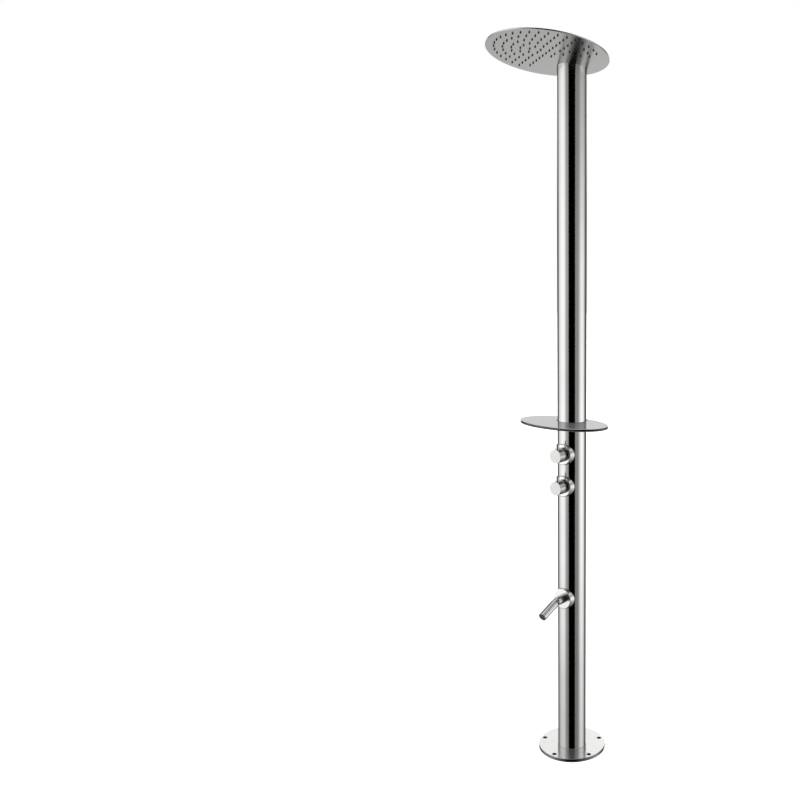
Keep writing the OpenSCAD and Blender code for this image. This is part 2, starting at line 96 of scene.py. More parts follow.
# Joins rings of vertices into faces; a ring may be a single vertex on the axis
def joinRings(form, rings, closed):
    pairs = list(zip(rings, rings[1:])) + ([(rings[-1], rings[0])] if closed else [])
    for a, b in pairs:
        count = max(len(a), len(b))
        if count == 1:
            continue
        for k in range(count):
            n = (k + 1) % count
            corners = [a[k % len(a)], a[n % len(a)], b[n % len(b)], b[k % len(b)]]
            form.faces.new([v for j, v in enumerate(corners) if v not in corners[:j]])


# Turns an outline about z. It is open when it starts and ends on the axis.
def turned(points, sides=128):
    form = bmesh.new()
    rings = []
    for p in points:
        if p[0] < onAxis:
            rings.append([form.verts.new((0, 0, p[1]))])
            continue
        rings.append([form.verts.new((p[0] * math.cos(2 * math.pi * k / sides),
                                      p[0] * math.sin(2 * math.pi * k / sides), p[1])) for k in range(sides)])
    joinRings(form, rings, closed=len(rings[0]) > 1)
    return form


# Makes the finished piece: smooth faces, sharp only past a crease, flat faces kept flat
def makePiece(name, form, body, finishes, nodes, place=Matrix()):
    bmesh.ops.recalc_face_normals(form, faces=form.faces)
    mesh = bpy.data.meshes.new(name)
    form.to_mesh(mesh)
    form.free()
    mesh.shade_smooth()
    mesh.set_sharp_from_angle(angle=math.radians(creaseDeg))
    for finish in finishes:
        mesh.materials.append(finish)
    piece = bpy.data.objects.new(name, mesh)
    bpy.context.scene.collection.objects.link(piece)
    piece.matrix_world = place
    weights = piece.modifiers.new("flatFacesStayFlat", "WEIGHTED_NORMAL")
    weights.keep_sharp = True
    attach(piece, body)
    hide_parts(*nodes)
    return piece


# Cuts holes into a piece with turned cutters, and leaves no modifier of the cut behind
def cutHoles(form, cutters):
    mesh = bpy.data.meshes.new("cutWork")
    bmesh.ops.recalc_face_normals(form, faces=form.faces)
    form.to_mesh(mesh)
    form.free()
    work = bpy.data.objects.new("cutWork", mesh)
    bpy.context.scene.collection.objects.link(work)
    tools = []
    for cutter, place in cutters:
        bmesh.ops.recalc_face_normals(cutter, faces=cutter.faces)
        toolMesh = bpy.data.meshes.new("cutTool")
        cutter.to_mesh(toolMesh)
        cutter.free()
        tool = bpy.data.objects.new("cutTool", toolMesh)
        bpy.context.scene.collection.objects.link(tool)
        tool.matrix_world = place
        cut = work.modifiers.new("cut", "BOOLEAN")
        cut.object, cut.operation, cut.solver = tool, "DIFFERENCE", "EXACT"
        tools.append(tool)
    bpy.context.view_layer.update()
    result = bmesh.new()
    result.from_object(work, bpy.context.evaluated_depsgraph_get())
    for leftover in [work] + tools:
        bpy.data.objects.remove(leftover)
    return result


# Local z to the front of the post at a height, local y up
def toFront(height):
    return Matrix.Translation((0, 0, height)) @ Matrix.Rotation(math.pi / 2, 4, "X")


# Starts a finish: its material, its tree and shader, and places in the piece's own axes
def newFinish(name):
    material = bpy.data.materials.new(name)
    material.use_nodes = True
    tree = material.node_tree
    return material, tree, tree.nodes["Principled BSDF"], addNode(tree, "ShaderNodeTexCoord").outputs["Object"]


# How deep a mark is at full relief, by the way the steel or stuff is made
reliefDeep = {"tube": 0.02 * mm, "sheet": 0.03 * mm, "bar": 0.02 * mm, "grain": 0.05 * mm}
quarterTurn = 0.25  # turns the smear of the gloss square to the tool marks


def addToShader(tree, shader, colour, roughness, normal, metallic=1.0):
    tree.links.new(colour, shader.inputs["Base Color"])
    tree.links.new(roughness, shader.inputs["Roughness"])
    tree.links.new(normal, shader.inputs["Normal"])
    shader.inputs["Metallic"].default_value = metallic


# Welded stainless tube, ground round its girth and polished. Rings of fine grinding marks smear
# what it mirrors along the tube, so bright and dark bands run from end to end with crisp sides.
def groundTubeSteel(look):
    material, tree, shader, place = newFinish("groundTubeSteel")
    # Real marks are 0.1 mm apart; these are drawn coarse enough to show
    squash = addNode(tree, "ShaderNodeMapping", _0=place,
                     Scale=(look["marksAcross"], look["marksAcross"], 1 / (look["markMm"] * mm)))
    marks = addNode(tree, "ShaderNodeTexNoise", _0=squash.outputs[0], Scale=1.0, Detail=3.0)
    broad = addNode(tree, "ShaderNodeTexNoise", _0=place, Scale=1 / (look["cloudMm"] * mm), Detail=2.0)
    tint = addNode(tree, "ShaderNodeMix", {"data_type": "RGBA"}, Factor=broad.outputs[0],
                   _6=paint(look["dim"]), _7=paint(look["bright"]))
    rough = addNode(tree, "ShaderNodeMapRange", _0=marks.outputs[0], _3=look["roughLow"], _4=look["roughHigh"])
    relief = addNode(tree, "ShaderNodeBump", Strength=look["relief"], Distance=reliefDeep["tube"],
                     Height=marks.outputs[0])
    girth = addNode(tree, "ShaderNodeTangent", {"direction_type": "RADIAL", "axis": "Z"})
    addToShader(tree, shader, tint.outputs[2], rough.outputs[0], relief.outputs[0])
    tree.links.new(girth.outputs[0], shader.inputs["Tangent"])
    shader.inputs["Anisotropic"].default_value = look["smear"]
    shader.inputs["Anisotropic Rotation"].default_value = quarterTurn
    return material


# Stainless sheet or plate with a straight satin brush. The brush lines run along one way of the
# sheet, break up the gloss and draw what it mirrors out into a soft veil.
def brushedSheetSteel(name, look):
    material, tree, shader, place = newFinish(name)
    fine, long = 1 / (look["lineMm"] * mm), 1 / (look["strokeMm"] * mm)
    # Real brush lines are 0.1 mm apart; these are drawn coarse enough to show
    squash = addNode(tree, "ShaderNodeMapping", _0=place, Scale=(long, fine, fine))
    lines = addNode(tree, "ShaderNodeTexNoise", _0=squash.outputs[0], Scale=1.0, Detail=4.0)
    cloud = addNode(tree, "ShaderNodeTexNoise", _0=place, Scale=1 / (look["cloudMm"] * mm), Detail=3.0)
    both = addNode(tree, "ShaderNodeMix", Factor=look["cloudShare"], _2=lines.outputs[0], _3=cloud.outputs[0])
    tint = addNode(tree, "ShaderNodeMix", {"data_type": "RGBA"}, Factor=both.outputs[0],
                   _6=paint(look["dim"]), _7=paint(look["bright"]))
    rough = addNode(tree, "ShaderNodeMapRange", _0=both.outputs[0], _3=look["roughLow"], _4=look["roughHigh"])
    relief = addNode(tree, "ShaderNodeBump", Strength=look["relief"], Distance=reliefDeep["sheet"],
                     Height=lines.outputs[0])
    addToShader(tree, shader, tint.outputs[2], rough.outputs[0], relief.outputs[0], look["metallic"])
    return material


# Stainless bar turned on a lathe and satin finished. Its tool marks are rings about the piece's own
# axis, local z, so faces shine in a bow tie and sides in a band along the piece.
def turnedBarSteel(name, look):
    material, tree, shader, place = newFinish(name)
    axes = addNode(tree, "ShaderNodeSeparateXYZ", _0=place)
    flat = addNode(tree, "ShaderNodeCombineXYZ", X=axes.outputs[0], Y=axes.outputs[1])
    radius = addNode(tree, "ShaderNodeVectorMath", {"operation": "LENGTH"}, _0=flat.outputs[0])
    along = addNode(tree, "ShaderNodeMath", {"operation": "ADD"}, _0=radius.outputs[1], _1=axes.outputs[2])
    # Real feed marks are 0.1 mm apart; these are drawn coarse enough to show
    marks = addNode(tree, "ShaderNodeTexNoise", {"noise_dimensions": "1D"}, W=along.outputs[0],
                    Scale=1 / (look["markMm"] * mm), Detail=3.0)
    cloud = addNode(tree, "ShaderNodeTexNoise", _0=place, Scale=1 / (look["cloudMm"] * mm), Detail=2.0)
    tint = addNode(tree, "ShaderNodeMix", {"data_type": "RGBA"}, Factor=cloud.outputs[0],
                   _6=paint(look["dim"]), _7=paint(look["bright"]))
    rough = addNode(tree, "ShaderNodeMapRange", _0=marks.outputs[0], _3=look["roughLow"], _4=look["roughHigh"])
    relief = addNode(tree, "ShaderNodeBump", Strength=look["relief"], Distance=reliefDeep["bar"],
                     Height=marks.outputs[0])
    girth = addNode(tree, "ShaderNodeTangent", {"direction_type": "RADIAL", "axis": "Z"})
    addToShader(tree, shader, tint.outputs[2], rough.outputs[0], relief.outputs[0])
    tree.links.new(girth.outputs[0], shader.inputs["Tangent"])
    shader.inputs["Anisotropic"].default_value = look["smear"]
    shader.inputs["Anisotropic Rotation"].default_value = quarterTurn
    return material


# Cast, drawn, moulded or sintered stuff inside and on the shower. A fine even grain clouds its
# colour and breaks its shine a little, as a casting skin or a mould's etched wall does.
def grainedStuff(name, look):
    material, tree, shader, place = newFinish(name)
    skin = addNode(tree, "ShaderNodeTexNoise", _0=place, Scale=1 / (look["grainMm"] * mm), Detail=4.0)
    tint = addNode(tree, "ShaderNodeMix", {"data_type": "RGBA"}, Factor=skin.outputs[0],
                   _6=paint(look["dim"]), _7=paint(look["bright"]))
    rough = addNode(tree, "ShaderNodeMapRange", _0=skin.outputs[0], _3=look["roughLow"], _4=look["roughHigh"])
    relief = addNode(tree, "ShaderNodeBump", Strength=look["relief"], Distance=reliefDeep["grain"],
                     Height=skin.outputs[0])
    addToShader(tree, shader, tint.outputs[2], rough.outputs[0], relief.outputs[0], look.get("metallic", 0.0))
    if "ior" in look:
        shader.inputs["IOR"].default_value = look["ior"]
    return material


# The post, ground round its girth and polished: clear stripes, faintly drawn out along the tube
tubeSteel = groundTubeSteel({
    "bright": "#cfcfcd", "dim": "#bdbdbb", "markMm": 2.5, "marksAcross": 6, "cloudMm": 180,
    "roughLow": 0.12, "roughHigh": 0.2, "relief": 0.15, "smear": 0.85})
# The flange and the shelf's cut sheets, plate ground flat: bright and slightly cloudy. A little light
# scatters widely from the grind, so it is not quite all metal.
plateSteel = brushedSheetSteel("brushedPlateSteel", {
    "bright": "#dcdcda", "dim": "#cdcdcb", "lineMm": 1.2, "strokeMm": 40, "cloudMm": 35,
    "cloudShare": 0.6, "roughLow": 0.14, "roughHigh": 0.21, "relief": 0.15, "metallic": 0.95})
# The rain head, thin rolled sheet with a satin brush: greyer and softer than the plate
sheetSteel = brushedSheetSteel("satinSheetSteel", {
    "bright": "#cccccb", "dim": "#b9b9b7", "lineMm": 1.5, "strokeMm": 60, "cloudMm": 60,
    "cloudShare": 0.3, "roughLow": 0.19, "roughHigh": 0.26, "relief": 0.2, "metallic": 1.0})
# Stub, ring, levers and pegs, turned and lightly polished: even bands with soft sides
turnedSteel = turnedBarSteel("turnedBarSteel", {
    "bright": "#cfcfcd", "dim": "#bdbdbb", "markMm": 0.8, "cloudMm": 25, "roughLow": 0.16, "roughHigh": 0.28,
    "relief": 0.2, "smear": 0.5})
# The bosses, turned: a lighter copy of the turned steel, the added lightness painted light, with a clear
# crescent at the rounded edge
bossSteel = turnedBarSteel("bossSteelPaintedLight", {
    "bright": "#d9d9d7", "dim": "#cbcbc9", "markMm": 0.8, "cloudMm": 25, "roughLow": 0.15, "roughHigh": 0.26,
    "relief": 0.2, "smear": 0.5})
# The spout tube, turned and polished along: narrow crisp stripes. Its colour, a little darker than the turned
# steel's, is painted shade
spoutSteel = turnedBarSteel("spoutSteelPaintedShade", {
    "bright": "#cbcbc9", "dim": "#b9b9b7", "markMm": 0.8, "cloudMm": 25, "roughLow": 0.1, "roughHigh": 0.18,
    "relief": 0.2, "smear": 0.6})
# The knobs, spun and satin finished: rings on the cap and a dull broad shine
knobSteel = turnedBarSteel("spunKnobSteel", {
    "bright": "#c4c4c2", "dim": "#b8b8b6", "markMm": 0.9, "cloudMm": 12, "roughLow": 0.2, "roughHigh": 0.34,
    "relief": 0.2, "smear": 0.6})
# Cut rims, turned and dull. Their darker colour is painted shade: on the flange's rim it stands for the
# shadowed floor that the rim mirrors by its foot. The shelf's glue seam takes this steel too
rimSteel = turnedBarSteel("rimSteelPaintedShade", {
    "bright": "#8a8a89", "dim": "#737372", "markMm": 0.7, "cloudMm": 30, "roughLow": 0.22, "roughHigh": 0.34,
    "relief": 0.3, "smear": 0.4})
# The ball, lapped to run in its seat: almost a mirror
ballSteel = turnedBarSteel("polishedBallSteel", {
    "bright": "#cfcfcd", "dim": "#bdbdbb", "markMm": 1.5, "cloudMm": 8, "roughLow": 0.04, "roughHigh": 0.1,
    "relief": 0.05, "smear": 0.0})
print("steels made")

stuffLooks = {
    # As drilled, unpolished: torn and dull. Its dark colour is painted shade for the inside of a hole, so a
    # hole reads dark beside the brushed plate; the lever's cut end takes it too
    "cutSteelAndHoleShade": {"bright": "#5a5a59", "dim": "#444443", "grainMm": 0.8, "roughLow": 0.45, "roughHigh": 0.6,
                     "relief": 0.4, "metallic": 1.0},
    # Sand cast and machined, gone dull in use: a weak warm tone with a faint mottle
    "castBrass": {"bright": "#9c8660", "dim": "#7d6946", "grainMm": 1.5, "roughLow": 0.25, "roughHigh": 0.42,
                  "relief": 0.3, "metallic": 1.0},
    # Drawn and pickled: an even grey metal, duller than the polished post
    "drawnPipeSteel": {"bright": "#b5b5b1", "dim": "#9c9c98", "grainMm": 4, "roughLow": 0.25, "roughHigh": 0.4,
                       "relief": 0.2, "metallic": 1.0},
    # Heat blackened screw: a dark metal with a weak shine
    "blackenedScrewSteel": {"bright": "#6a6a6a", "dim": "#4a4a4a", "grainMm": 1, "roughLow": 0.3,
                            "roughHigh": 0.45, "relief": 0.2, "metallic": 1.0},
    # Moulded sealing rubber: dull black, a wide faint sheen
    "mouldedRubber": {"bright": "#242424", "dim": "#161616", "grainMm": 0.6, "roughLow": 0.55,
                      "roughHigh": 0.75, "relief": 0.3, "ior": 1.52},
    # Moulded silicone: near black and smoother, each nozzle with a small soft light
    "siliconeNozzle": {"bright": "#2b2c2d", "dim": "#1b1c1d", "grainMm": 0.8, "roughLow": 0.35,
                       "roughHigh": 0.5, "relief": 0.2, "ior": 1.43},
    # Moulded acetal: creamy and satin
    "mouldedAcetal": {"bright": "#ddd8c8", "dim": "#cfcab8", "grainMm": 0.7, "roughLow": 0.4, "roughHigh": 0.55,
                      "relief": 0.2, "ior": 1.48},
    # Sintered and lapped alumina: warm white, almost a mirror
    "lappedCeramic": {"bright": "#f0eee8", "dim": "#e4e1d8", "grainMm": 0.5, "roughLow": 0.08, "roughHigh": 0.2,
                      "relief": 0.05, "ior": 1.76},
    # Turned PTFE: white and waxy
    "turnedPtfe": {"bright": "#ebebe6", "dim": "#dcdcd6", "grainMm": 0.6, "roughLow": 0.35, "roughHigh": 0.5,
                   "relief": 0.15, "ior": 1.38},
    # Moulded ABS: charcoal with a fine etched skin
    "mouldedAbs": {"bright": "#3a3b3c", "dim": "#232425", "grainMm": 0.7, "roughLow": 0.35, "roughHigh": 0.5,
                   "relief": 0.2, "ior": 1.53},
    # Coated metal face sheet: mid grey under a clear gloss that mirrors the post and, at a low
    # glance, the light behind
    "coatedSheet": {"bright": "#585858", "dim": "#525252", "grainMm": 1.5, "roughLow": 0.07, "roughHigh": 0.13,
                    "relief": 0.02, "ior": 1.5},
    # Sawn and sanded board core: near black
    "blackCore": {"bright": "#121212", "dim": "#080808", "grainMm": 1.2, "roughLow": 0.16, "roughHigh": 0.26,
                  "relief": 0.1, "ior": 1.5},
}
stuff = {name: grainedStuff(name, look) for name, look in stuffLooks.items()}

# CAD nodes that stay as they are get the finish of their slot
slotFinishes = {
    "polished_steel": tubeSteel, "brushed_flange": plateSteel, "brushed_head": sheetSteel,
    "turned_steel": turnedSteel, "spun_knob": knobSteel, "shelf_plate": stuff["coatedSheet"],
    "valve_brass": stuff["castBrass"], "water_pipe": stuff["drawnPipeSteel"],
    "screw_steel": stuff["blackenedScrewSteel"], "black_rubber": stuff["mouldedRubber"],
    "nozzle_rubber": stuff["siliconeNozzle"], "cartridge_plastic": stuff["mouldedAcetal"],
    "ceramic": stuff["lappedCeramic"], "seat_plastic": stuff["turnedPtfe"],
    "aerator_plastic": stuff["mouldedAbs"],
}
for part in frame["record"]["subparts"]:
    mesh = frame["nodes"][part["node"]].data
    mesh.materials.clear()
    mesh.materials.append(slotFinishes[part["material_slot"]])
print("other finishes made")

# The post: a welded tube whose top is cut at the head's slant
postLook = {"wallMm": 2, "headTilt": 11.5, "topAxisMm": 2096, "footRoundMm": 0.8, "footSteps": 5, "sides": 192,
            "ringStepMm": 150}
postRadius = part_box("post_tube")[1].x
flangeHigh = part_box("base_flange")[1]
topOnAxis = postLook["topAxisMm"] * mm
slope = math.tan(math.radians(postLook["headTilt"]))


def makePost():
    inner = postRadius - postLook["wallMm"] * mm
    soft, step, foot = postLook["footRoundMm"] * mm, postLook["ringStepMm"] * mm, flangeHigh.z
    levels = [foot + step * k for k in range(1, int((topOnAxis - foot) / step))]
    arc = [(postRadius - soft + soft * math.sin(a), foot + soft - soft * math.cos(a))
           for a in (math.pi / 2 * k / postLook["footSteps"] for k in range(postLook["footSteps"] + 1))]
    # A point without a height lies on the slanted cut
    outline = [(inner, foot)] + arc + [(postRadius, z) for z in levels]
    outline += [(postRadius, None), (inner, None)] + [(inner, z) for z in reversed(levels)]
    form = bmesh.new()
    sides = postLook["sides"]
    rings = []
    for radius, z in outline:
        ring = []
        for k in range(sides):
            a = 2 * math.pi * k / sides
            x, y = radius * math.cos(a), radius * math.sin(a)
            ring.append(form.verts.new((x, y, topOnAxis - y * slope if z is None else z)))
        rings.append(ring)
    joinRings(form, rings, closed=True)
    makePiece("postTube", form, "column", [tubeSteel], ["post_tube"])


makePost()
print("post tube made")

# The base flange: a plate with five anchor holes and the inlet's hole, brushed on top, turned at its rim
flangeLook = {"holes": 5, "circleMm": 183, "holeMm": 14, "sinkMm": 0.5, "edgeMm": 0.8, "footEdgeMm": 0.3,
              "inletSideMm": 24, "inletMm": 24.1, "collarMm": 29.7, "collarDeepMm": 3, "rimBandMm": 2,
              "cutPastMm": 1, "sides": 256, "holeSides": 48, "inletSides": 64}


def makeFlange():
    radius, thick = min(flangeHigh.x, flangeHigh.y), flangeHigh.z
    plate = turned(softOutline([
        (0, 0, 0), (radius, 0, flangeLook["footEdgeMm"] * mm), (radius, thick, flangeLook["edgeMm"] * mm),
        (0, thick, 0)]), flangeLook["sides"])
    over = flangeLook["cutPastMm"] * mm
    hole, sink = flangeLook["holeMm"] / 2 * mm, flangeLook["sinkMm"] * mm
    cutters = []
    for k in range(flangeLook["holes"]):
        a = -math.pi / 2 + 2 * math.pi * k / flangeLook["holes"]
        drill = turned([Vector(p) for p in ((0, -over), (hole, -over), (hole, thick - sink),
                                            (hole + sink + over, thick + over), (0, thick + over))],
                       flangeLook["holeSides"])
        reach = flangeLook["circleMm"] / 2 * mm
        cutters.append((drill, Matrix.Translation((reach * math.cos(a), reach * math.sin(a), 0))))
    bore, collar, deep = (flangeLook[k] * mm for k in ("inletMm", "collarMm", "collarDeepMm"))
    drill = turned([Vector(p) for p in ((0, -over), (collar / 2, -over), (collar / 2, deep), (bore / 2, deep),
                                        (bore / 2, thick + over), (0, thick + over))],
                   flangeLook["inletSides"])
    cutters.append((drill, Matrix.Translation((-flangeLook["inletSideMm"] * mm, 0, 0))))
    form = cutHoles(plate, cutters)
    # Flat faces take the plate's finish, the rim its own darker steel, and the walls of the holes a dark one;
    # both darker colours are painted shade
    for face in form.faces:
        upright = abs(face.normal.z) < 0.5
        atRim = face.calc_center_median().xy.length > radius - flangeLook["rimBandMm"] * mm
        face.material_index = (1 if atRim else 2) if upright else 0
    flange = makePiece("baseFlange", form, "column", [plateSteel, rimSteel, stuff["cutSteelAndHoleShade"]],
                       ["base_flange"])
    flange.visible_glossy = False  # keeps the post's bands clear down to its foot


makeFlange()
print("base flange made")

# The bosses: turned drums with a saddle on the post and a thin polished weld round it
bossLook = {"edgeMm": 2.6, "edgeSteps": 9, "weldMm": 0.9, "barrelMm": 30.1, "nutPocketMm": 40, "nutSeatMm": 4,
            "lipMm": 0.3, "tailMm": 19, "overPostMm": 0.05, "sides": 128,
            # Shares of the weld's width that its hollow face stands out and up, from its toe to the drum
            "weldFace": [(1, 0), (0.35, 0.3), (0.1, 0.7), (0, 1.2)]}


def makeBoss(name, node, pocket):
    low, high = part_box(node)
    height, radius, face = (low.z + high.z) / 2, high.x, -low.y
    edge, weld, lip, overPost = (bossLook[k] * mm for k in ("edgeMm", "weldMm", "lipMm", "overPostMm"))
    sides = bossLook["sides"]
    # Each ring is radius, depth from the axis and lift; no depth means on the post's surface
    outline = [(radius + weld * out, None, weld * up) for out, up in bossLook["weldFace"]]
    rim = softOutline([(radius, face - 2 * edge, 0), (radius, face, edge), (radius - 2 * edge, face, 0)],
                      bossLook["edgeSteps"])[1:-1]
    outline += [(p.x, p.y, 0) for p in rim]
    hole = bossLook["barrelMm"] / 2 * mm
    if pocket:
        wide, seat = bossLook["nutPocketMm"] / 2 * mm, face - bossLook["nutSeatMm"] * mm
        outline += [(wide + lip, face, 0), (wide, face - lip, 0), (wide, seat, 0), (hole, seat, 0)]
    else:
        tail, wall = bossLook["tailMm"] / 2 * mm, bossLook["nutSeatMm"] * mm
        outline += [(tail, face, 0), (tail, face - wall, 0), (hole, face - wall, 0)]
    outline += [(hole, None, 0)]
    form = bmesh.new()
    rings = []
    for r, depth, lift in outline:
        ring = []
        for k in range(sides):
            a = 2 * math.pi * k / sides
            x = r * math.cos(a)
            onPost = math.sqrt(max(postRadius ** 2 - x * x, 0)) + overPost
            ring.append(form.verts.new((x, r * math.sin(a), (onPost if depth is None else depth) + lift)))
        rings.append(ring)
    joinRings(form, rings, closed=True)
    makePiece(name, form, "column", [bossSteel], [node], toFront(height))
    return height, face


upperHeight, bossFace = makeBoss("upperBoss", "upper_boss", True)
lowerHeight, bossFace = makeBoss("lowerBoss", "lower_boss", True)
footHeight, bossFace = makeBoss("footBoss", "foot_boss", False)
print("bosses made")

# The knobs, spun caps with a socket behind, and their lever pins
knobLook = {"edgeMm": 0.8, "backEdgeMm": 0.5, "socketMm": 30, "socketDeepMm": 6, "socketEdgeMm": 0.3,
            "boreMm": 8.1, "boreDeepMm": 21.5, "sides": 160}
leverLook = {"edgeMm": 0.9, "rootMm": 10, "sides": 96}


def makeKnob(tap, height):
    low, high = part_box(tap + "_knob")
    radius, back, front = high.x, -high.y, -low.y
    socket, deep = knobLook["socketMm"] / 2 * mm, back + knobLook["socketDeepMm"] * mm
    bore, end = knobLook["boreMm"] / 2 * mm, back + knobLook["boreDeepMm"] * mm
    form = turned(softOutline([
        (0, end, 0), (bore, end, 0), (bore, deep, 0), (socket, deep, 0),
        (socket, back, knobLook["socketEdgeMm"] * mm), (radius, back, knobLook["backEdgeMm"] * mm),
        (radius, front, knobLook["edgeMm"] * mm), (0, front, 0)]), knobLook["sides"])
    makePiece(tap + "Knob", form, tap + "_tap", [knobSteel], [tap + "_knob"], toFront(height))
    low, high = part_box(tap + "_lever")
    thick, top, root = high.x, high.z - height, leverLook["rootMm"] * mm
    form = turned(softOutline([
        (0, root, 0), (thick, root, 0), (thick, top, leverLook["edgeMm"] * mm), (0, top, 0)]),
        leverLook["sides"])
    # Only the lever's flat end is left as cut
    for face in form.faces:
        face.material_index = int(face.calc_center_median().z > top - 0.5 * leverLook["edgeMm"] * mm)
    place = Matrix.Translation((0, (low.y + high.y) / 2, height))
    makePiece(tap + "Lever", form, tap + "_tap", [turnedSteel, stuff["cutSteelAndHoleShade"]],
              [tap + "_lever"], place)


makeKnob("upper", upperHeight)
makeKnob("lower", lowerHeight)
print("knobs made")

# The shelf: an oval board with coated faces and a black core, holed for the post and open behind it
shelfLook = {"deepMm": 177, "clearMm": 1.25, "gapMm": 40, "edgeMm": 0.7, "seamMm": 0.5, "ovalSides": 240,
             "archSides": 96}


def makeShelf():
    low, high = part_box("shelf")
    wide, deep = high.x, shelfLook["deepMm"] / 2 * mm
    middle, reach, gap = low.y + deep, postRadius + shelfLook["clearMm"] * mm, shelfLook["gapMm"] / 2 * mm
    # Angles run from the front. The oval ends at the gap, and the arch round the post runs back.
    last, tip = math.pi - math.asin(gap / wide), math.pi - math.asin(gap / reach)
    ovalSides, archSides = shelfLook["ovalSides"], shelfLook["archSides"]
    rim = [Vector((wide * math.sin(a), middle - deep * math.cos(a)))
           for a in (last * (2 * k / ovalSides - 1) for k in range(ovalSides + 1))]
    rim += [Vector((reach * math.sin(a), -reach * math.cos(a)))
            for a in (tip * (1 - 2 * k / archSides) for k in range(archSides + 1))]
    edge, seam, half = shelfLook["edgeMm"] * mm, shelfLook["seamMm"] / 2 * mm, (low.z + high.z) / 2
    levels = [(edge, low.z), (0, low.z + edge), (0, half - seam), (0, half + seam), (0, high.z - edge),
              (edge, high.z)]
    form = bmesh.new()
    rings = [[] for _ in levels]
    for i, p in enumerate(rim):
        before, after = (p - rim[i - 1]).normalized(), (rim[(i + 1) % len(rim)] - p).normalized()
        outBefore, outAfter = Vector((before.y, -before.x)), Vector((after.y, -after.x))
        out = (outBefore + outAfter) / (1 + outBefore.dot(outAfter))
        for ring, (inset, z) in zip(rings, levels):
            ring.append(form.verts.new((*(p - out * inset), z)))
    joinRings(form, rings, closed=False)
    # Bands from the bottom: cut edge of the lower sheet, core, glue seam, core, cut edge of the upper sheet.
    # Round the post there is only core.
    for k, face in enumerate(form.faces):
        face.material_index = (2, 1, 3, 1, 2)[k // len(rim)] if k % len(rim) < ovalSides else 1
    form.faces.new(rings[0])
    form.faces.new(rings[-1])
    finishes = [stuff["coatedSheet"], stuff["blackCore"], plateSteel, rimSteel]
    shelf = makePiece("shelfPlate", form, "column", finishes, ["shelf"])
    shelf.visible_glossy = False  # keeps the post's bands clear down to the shelf


makeShelf()

# The pegs under it
pegLook = {"pegs": 3, "inMm": 6, "outMm": 9, "edgeMm": 0.6, "sides": 48}
pegLow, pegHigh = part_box("shelf_pegs")
pegRadius, pegHeight = (pegHigh.z - pegLow.z) / 2, (pegHigh.z + pegLow.z) / 2
inside, outside = postRadius - pegLook["inMm"] * mm, postRadius + pegLook["outMm"] * mm
for k in range(pegLook["pegs"]):
    form = turned(softOutline([
        (0, inside, 0), (pegRadius, inside, 0), (pegRadius, outside, pegLook["edgeMm"] * mm), (0, outside, 0)]),
        pegLook["sides"])
    around = Matrix.Rotation(2 * math.pi * k / pegLook["pegs"], 4, "Z")
    makePiece(f"shelfPeg{k + 1}", form, "column", [turnedSteel], ["shelf_pegs"],
              around @ toFront(pegHeight))
print("shelf made")

# The rain head's pan: a thin tray over the drilled sheet, which stays the CAD's own with its nozzles
headLook = {"radiusMm": 176, "offsetMm": 118, "thickMm": 4, "sheetMm": 1.2, "rimRoundMm": 0.9,
            "cornerInMm": 0.3, "lipInMm": 0.15, "lipOutMm": 0.5, "sides": 320}
onHead = (Matrix.Translation((0, 0, topOnAxis)) @ Matrix.Rotation(-math.radians(postLook["headTilt"]), 4, "X")
          @ Matrix.Translation((0, -headLook["offsetMm"] * mm, 0)))


def makeHeadPan():
    radius, thick, sheet = (headLook[k] * mm for k in ("radiusMm", "thickMm", "sheetMm"))
    form = turned(softOutline([
        (0, thick - sheet, 0), (radius - sheet, thick - sheet, headLook["cornerInMm"] * mm),
        (radius - sheet, 0, headLook["lipInMm"] * mm), (radius, 0, headLook["lipOutMm"] * mm),
        (radius, thick, headLook["rimRoundMm"] * mm), (0, thick, 0)]), headLook["sides"])
    makePiece("headPan", form, "column", [sheetSteel], ["head_cover"], onHead)


makeHeadPan()
print("rain head made")

# The foot spout: a fixed stub, a ball held by a ring in its end, and the tube on the ball
spoutLook = {"stubMm": 27.4, "ballMm": 20, "ballAtMm": 78.5, "endMm": 81.5, "wallMm": 1.6, "dropDeg": 21.5,
             "neckMm": 14, "neckLongMm": 10.5, "wayMm": 8, "tubeMm": 26.4, "tubeWallMm": 2.2, "tubeLongMm": 66,
             "mouthMm": 20.6, "mouthDeepMm": 1.4, "runMm": 0.06, "tailMm": 18.9, "tailInMm": 26,
             "stubBoreMm": 11, "seatMm": 16.6, "seatTopMm": 6.7, "seatDeepMm": 3, "ringFootMm": 0.4,
             "ringRunMm": 0.05, "ringEdgeMm": 0.25, "sides": 128, "tubeSides": 160, "gripSteps": 4,
             "ballSteps": 40}
# How far each of its corners is rounded off
spoutEdges = {"tailMm": 0.4, "shoulderMm": 0.3, "stubEndMm": 0.7, "stubLipMm": 0.1, "tubeRootMm": 0.2,
              "tubeHeelMm": 0.8, "tubeEndMm": 0.5, "tubeLipMm": 0.4, "tubeFloorMm": 0.3}
ballPlace = toFront(footHeight) @ Matrix.Translation((0, 0, spoutLook["ballAtMm"] * mm))
alongSpout = ballPlace @ Matrix.Rotation(math.radians(spoutLook["dropDeg"]), 4, "X")


